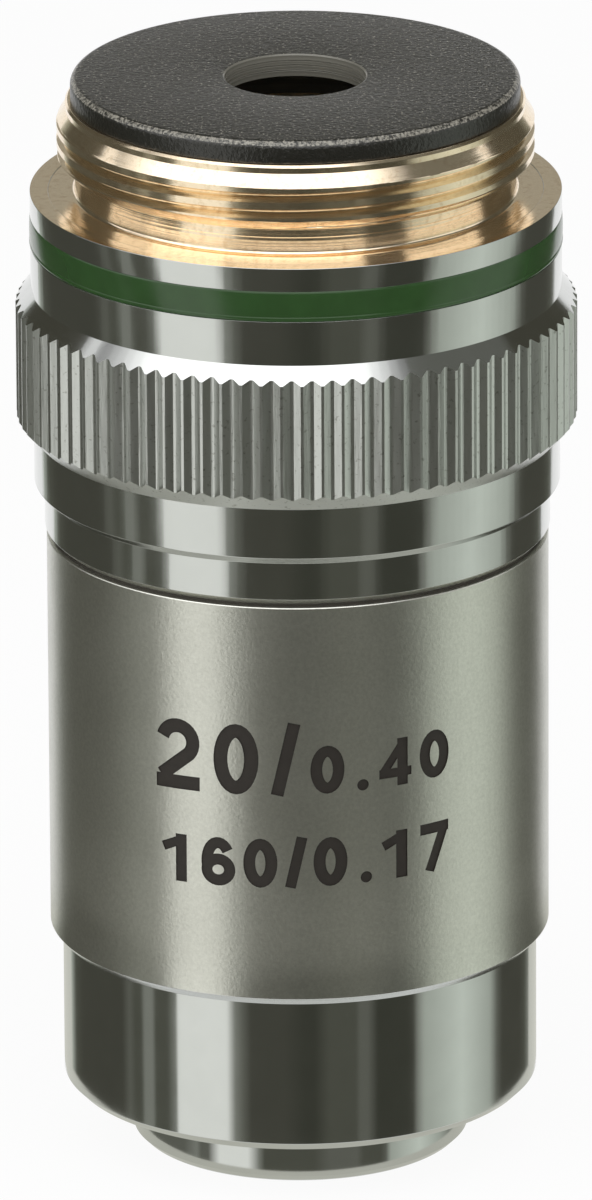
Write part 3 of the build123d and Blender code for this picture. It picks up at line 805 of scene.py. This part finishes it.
def make_front_cell():
    """The tip, with the rim that it stands on and the window of the front lens."""
    cell = turned(
        "polished_front_cell",
        [
            (WINDOW_R, TIP_Z, 0.04),
            (TIP_R - TIP_CHAMFER, TIP_Z, 0.05),
            (TIP_R, TIP_Z + TIP_CHAMFER, 0.05),
            (TIP_R, NOSE_FRONT),
            (FRONT_SPIGOT_R, NOSE_FRONT),
            (FRONT_SPIGOT_R, FRONT_SEAT),
            (FRONT_CONE_R, FRONT_SEAT),
            (LENS_R, TIP_Z + LENS_SEAT_DEPTH),
            (LENS_R, TIP_Z + WINDOW_DEPTH),
            (WINDOW_R, TIP_Z + WINDOW_DEPTH),
        ],
    )
    close(cell)
    hand_over(cell, "nose", [chrome], "front_cell")


def make_return_spring():
    """Compression spring of round wire, wound by Geometry Nodes. On the real objective it shortens as the
    nose slides in; here it is wound at one length.
    """
    length = SPRING_HIGH - SPRING_LOW - 2 * WIRE_R
    sizes = {
        "Turns": float(SPRING_TURNS),
        "Winding radius": SPRING_R * MM,
        "Length": length * MM,
        "Wire radius": WIRE_R * MM,
        "Foot": (SPRING_LOW + WIRE_R) * MM,
        "Finish": spring_steel,
    }
    tree, given = new_tree("return_spring_winding", sizes)
    winding = {
        "Resolution": 64,
        "Rotations": given["Turns"],
        "Start Radius": given["Winding radius"],
        "End Radius": given["Winding radius"],
        "Height": given["Length"],
    }
    helix = add(tree, "GeometryNodeCurveSpiral", winding)
    lift = add(tree, "ShaderNodeCombineXYZ", {"Z": given["Foot"]})
    placed = add(tree, "GeometryNodeTransform", {"Geometry": helix, "Translation": lift})
    size = {"Resolution": 12, "Radius": given["Wire radius"]}
    section = add(tree, "GeometryNodeCurvePrimitiveCircle", size)
    sweep = {"Curve": placed, "Profile Curve": section, "Fill Caps": True}
    wire = add(tree, "GeometryNodeCurveToMesh", sweep)
    end_tree(tree, wire, given["Finish"])
    spring = new_object("round_wire_spring", [], [])
    work(spring, tree, sizes)
    close(spring, 50)
    hand_over(spring, "shell", [spring_steel], "return_spring")
    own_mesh(spring)


make_rear_cap()
make_mount_ring()
make_barrel()
make_colour_ring()
make_sleeve()
make_nose()
make_front_cell()
make_return_spring()

for node, finish in {
    "spring_seat": black_brass,
    "lens_tube": black_brass,
    "guide_pin": spring_steel,
    "front_lens": glass,
    "middle_cell": black_brass,
    "middle_crown_lens": glass,
    "middle_flint_lens": glass,
    "cell_spacer": black_brass,
    "rear_cell": black_brass,
    "rear_crown_lens": glass,
    "rear_flint_lens": glass,
    "aperture_stop": black_brass,
    "lock_ring": black_brass,
}.items():
    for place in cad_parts[node].material_slots:
        place.material = finish


def share_of_seen_rays(tree):
    """1 for the rays that carry a view of the white surroundings: straight, mirrored or through glass."""
    ray = add(tree, "ShaderNodeLightPath").outputs
    seen = add(tree, "ShaderNodeMath", [ray["Is Camera Ray"], ray["Is Glossy Ray"]], operation="ADD")
    return add(tree, "ShaderNodeMath", [seen, ray["Is Transmission Ray"]], operation="ADD", use_clamp=True)


def make_floor():
    """A plain pale floor. From underneath it isn't there, so that the object's foot can be looked at."""
    z, edge = TIP_Z * MM, 6
    corners = [(-edge, -edge, z), (edge, -edge, z), (edge, edge, z), (-edge, edge, z)]
    floor = new_object("floor", corners, [(0, 1, 2, 3)])
    finish, tree, _ = new_finish("pale_paper")
    paper = add(tree, "ShaderNodeBsdfDiffuse", {"Color": colour("#FBFBFA")})
    white = add(tree, "ShaderNodeEmission", {"Color": (1, 1, 1, 1), "Strength": 1})
    share = add(tree, "ShaderNodeMath", [share_of_seen_rays(tree), 0.93], operation="MULTIPLY")
    lit = add(tree, "ShaderNodeMixShader", [share, paper, white])
    under = add(tree, "ShaderNodeNewGeometry").outputs["Backfacing"]
    end_finish(tree, add(tree, "ShaderNodeMixShader", [under, lit, add(tree, "ShaderNodeBsdfTransparent")]))
    floor.data.materials.append(finish)


# The greys of the cards that stand in for the studio: white paper, lit and shaded walls, and dark room.
BLACK, DARK, DIM, GREY = "#42433B", "#4C4C44", "#57584F", "#6A6B63"
MID, PALE, LIGHT, WHITE = "#8A8C84", "#B6BCB2", "#DCE3D9", "#FCFDF8"

# What stands round the object and gives its bright and dark stripes. Only mirrors see it. Each pair is a
# direction, in degrees from the front towards +X, and the grey there. Between them one shades to the next.
CARD_TONES = (
    (-150, PALE), (-143, DIM), (-133, DARK), (-97, DARK), (-92, GREY), (-88, DIM), (-84, DIM), (-82, MID),
    (-77, MID), (-75, DIM), (-68, DIM), (-63, MID), (-62, WHITE), (-36, WHITE), (-32, MID), (-28, GREY),
    (-24, DARK), (-8, DARK), (2, BLACK), (7, BLACK), (14, DIM), (27, DIM), (29, GREY), (33, GREY),
    (38, BLACK), (54, BLACK), (57, DARK), (59, MID), (63, PALE), (86, LIGHT), (106, PALE), (112, GREY),
    (117, DARK), (136, DARK), (143, DIM), (150, MID),
)
TIP_TONES = (
    (-158, MID), (-140, PALE), (-130, MID), (-120, GREY), (-88, GREY), (-77, MID), (-73, GREY), (-67, GREY),
    (-58, WHITE), (-37, WHITE), (-29, MID), (-25, DIM), (9, DIM), (20, GREY), (39, GREY), (44, DIM),
    (57, DIM), (61, GREY), (65, PALE), (90, LIGHT), (112, PALE), (125, MID), (138, PALE), (152, LIGHT),
)


def set_card(name, rows, tones, strength=1):
    """A card on the stage that only mirrors see, from rows of points with a tone for each row."""
    across = len(rows[0])
    faces = [
        (across * k + j, across * k + j + 1, across * (k + 1) + j + 1, across * (k + 1) + j)
        for k in range(len(rows) - 1)
        for j in range(across - 1)
    ]
    card = new_object(name, [spot for row in rows for spot in row], faces)
    painted = card.data.attributes.new("tone", "FLOAT_COLOR", "POINT")
    for k, tone in enumerate(tones):
        for j in range(across):
            painted.data[across * k + j].color = tone
    finish, tree, _ = new_finish(name)
    tone = add(tree, "ShaderNodeAttribute", attribute_name="tone").outputs["Color"]
    end_finish(tree, add(tree, "ShaderNodeEmission", {"Color": tone, "Strength": strength}))
    card.data.materials.append(finish)
    card.visible_camera = card.visible_diffuse = card.visible_shadow = card.visible_transmission = False


def lay_card(name, tones, wall_r, near, heights):
    """A card whose edges run as the mirrored rays do, out from a wall of the object to near, a radius in mm.
    Heights are those of its points over the floor, and how far out each lies from near, all in mm."""
    rows, shades = [], []
    for (start, first), (end, last) in zip(tones, tones[1:]):
        steps = max(1, math.ceil((end - start) / 4))
        for k in range(steps if end != tones[-1][0] else steps + 1):
            ray = math.radians(start + (end - start) * k / steps)
            out, along = (Vector((math.sin(a), -math.cos(a), 0)) for a in (ray / 2, ray))
            reach = -wall_r * math.cos(ray / 2) + math.sqrt(near**2 - (wall_r * math.sin(ray / 2)) ** 2)
            spots = [out * wall_r + along * (reach + further) for height, further in heights]
            rows.append([(spot + Vector((0, 0, TIP_Z + h[0]))) * MM for spot, h in zip(spots, heights)])
            shades.append([a + (b - a) * k / steps for a, b in zip(colour(first), colour(last))])
    set_card(name, rows, shades)


def hang_card(name, start, end, low, high, grey, strength=1, fade=1, away=0.5):
    """A curved card round the object, away in metres. All four edges are angles, and its ends may fade."""
    rows, across, up = [], 24, 6
    for k in range(across + 1):
        az = math.radians(start + (end - start) * k / across)
        rises = [math.radians(low + (high - low) * j / up) for j in range(up + 1)]
        ways = [(math.sin(az) * math.cos(e), -math.cos(az) * math.cos(e), math.sin(e)) for e in rises]
        rows.append([Vector(way) * away for way in ways])
    dim = [min(1, fade + min(k, across - k) / 4) for k in range(across + 1)]
    set_card(name, rows, [[c * d for c in colour(grey)] for d in dim], strength)


def lay_ring(name, inner, outer, grey):
    """A ring on the floor round the tip, where the object's own shade falls."""
    rows, parts, height = [], 48, (TIP_Z + 0.05) * MM
    for k in range(parts + 1):
        a = 2 * math.pi * k / parts
        rows.append([Vector((r * MM * math.sin(a), -r * MM * math.cos(a), height)) for r in (inner, outer)])
    set_card(name, rows, [colour(grey)] * len(rows))


def make_room():
    """White surroundings, which light the object at part of the strength at which they are seen."""
    room = bpy.data.worlds.new("white_room")
    room.use_nodes = True
    tree = room.node_tree
    tree.nodes.clear()
    level = add(tree, "ShaderNodeMapRange", {"Value": share_of_seen_rays(tree), "To Min": 0.4, "To Max": 1})
    air = add(tree, "ShaderNodeBackground", {"Color": (1, 1, 1, 1), "Strength": level})
    add(tree, "ShaderNodeOutputWorld", {"Surface": air})
    bpy.context.scene.world = room


def hang_softbox(name, place, width, depth, brightness):
    """A soft lamp facing the object. Mirrors don't show it, because the cards stand in for it there."""
    lamp = bpy.data.lights.new(name, "AREA")
    lamp.shape, lamp.size, lamp.size_y = "RECTANGLE", width, depth
    lamp.energy = brightness * math.pi * width * depth
    softbox = bpy.data.objects.new(name, lamp)
    bpy.context.scene.collection.objects.link(softbox)
    softbox.location = place
    softbox.rotation_mode = "QUATERNION"
    softbox.rotation_quaternion = (Vector((0, 0, -0.01)) - Vector(place)).to_track_quat("-Z", "Y")
    softbox.visible_camera = softbox.visible_glossy = False


def aim_camera():
    """The photograph's view: 19 degrees above the horizon, 720 mm away, through a long lens."""
    rise, lean, away, aim = math.radians(19.04), math.radians(-0.31), 719.65 * MM, -18.542 * MM
    lens = bpy.data.cameras.new("photograph_view")
    lens.sensor_width, lens.lens = 36, 505.25
    lens.shift_x, lens.shift_y = -2 / 1200, 1 / 1200
    lens.clip_start, lens.clip_end = 0.01, 20
    camera = bpy.data.objects.new("photograph_view", lens)
    bpy.context.scene.collection.objects.link(camera)
    stand = Matrix.Translation((0, -away * math.cos(rise), aim + away * math.sin(rise)))
    tilt = Matrix.Rotation(math.radians(90) - rise, 4, "X") @ Matrix.Rotation(lean, 4, "Z")
    camera.matrix_world = stand @ tilt
    bpy.context.scene.camera = camera


make_floor()
lay_card("floor_card", CARD_TONES, BARREL_R, 33, ((0.2, 0), (0.2, 600), (150, 600)))
lay_card("sleeve_collar_card", CARD_TONES, SLEEVE_R, 20, ((0.2, 0), (6.2, 0)))
lay_card("nose_collar_card", CARD_TONES, NOSE_R, 13.2, ((1.2, 0), (8.3, 0)))
lay_card("tip_collar_card", TIP_TONES, TIP_R, 8.2, ((0.1, 0), (2.2, 0)))
lay_ring("shade_under_nose", 6.9, 11.5, "#CACAC0")
lay_ring("shade_round_foot", 13.5, 34, "#D6D6CD")
hang_card("white_card_above", -106, 66, 28, 112, "#FFFFFF", 1.9, fade=0.1)
hang_card("white_card_left", -88, -34, 14, 28, "#FFFFFF", 1.5, fade=0.3)
hang_card("grey_card_right", 66, 112, 27, 75, "#6B6C66")
hang_card("dark_card_left", -152, -112, 8, 48, "#4A4940")
hang_card("dark_card_right", 112, 152, 8, 48, "#4A4940")
hang_card("low_card_right", 36, 60, 12, 34, "#38372F", away=0.45)
hang_card("grey_card_behind", 150, 210, 8, 27, "#9C9B93")
hang_card("dark_card_behind", 140, 220, 27, 64, "#4C4B43")
make_room()
hang_softbox("softbox_above", (-0.06, -0.3, 0.42), 1.1, 0.45, 1.4)
hang_softbox("softbox_left", (-0.55, -0.3, 0.16), 0.35, 0.35, 1.2)
hang_softbox("softbox_right", (0.55, -0.3, 0.16), 0.35, 0.35, 1.2)
aim_camera()
bpy.context.scene.view_settings.view_transform = "Standard"
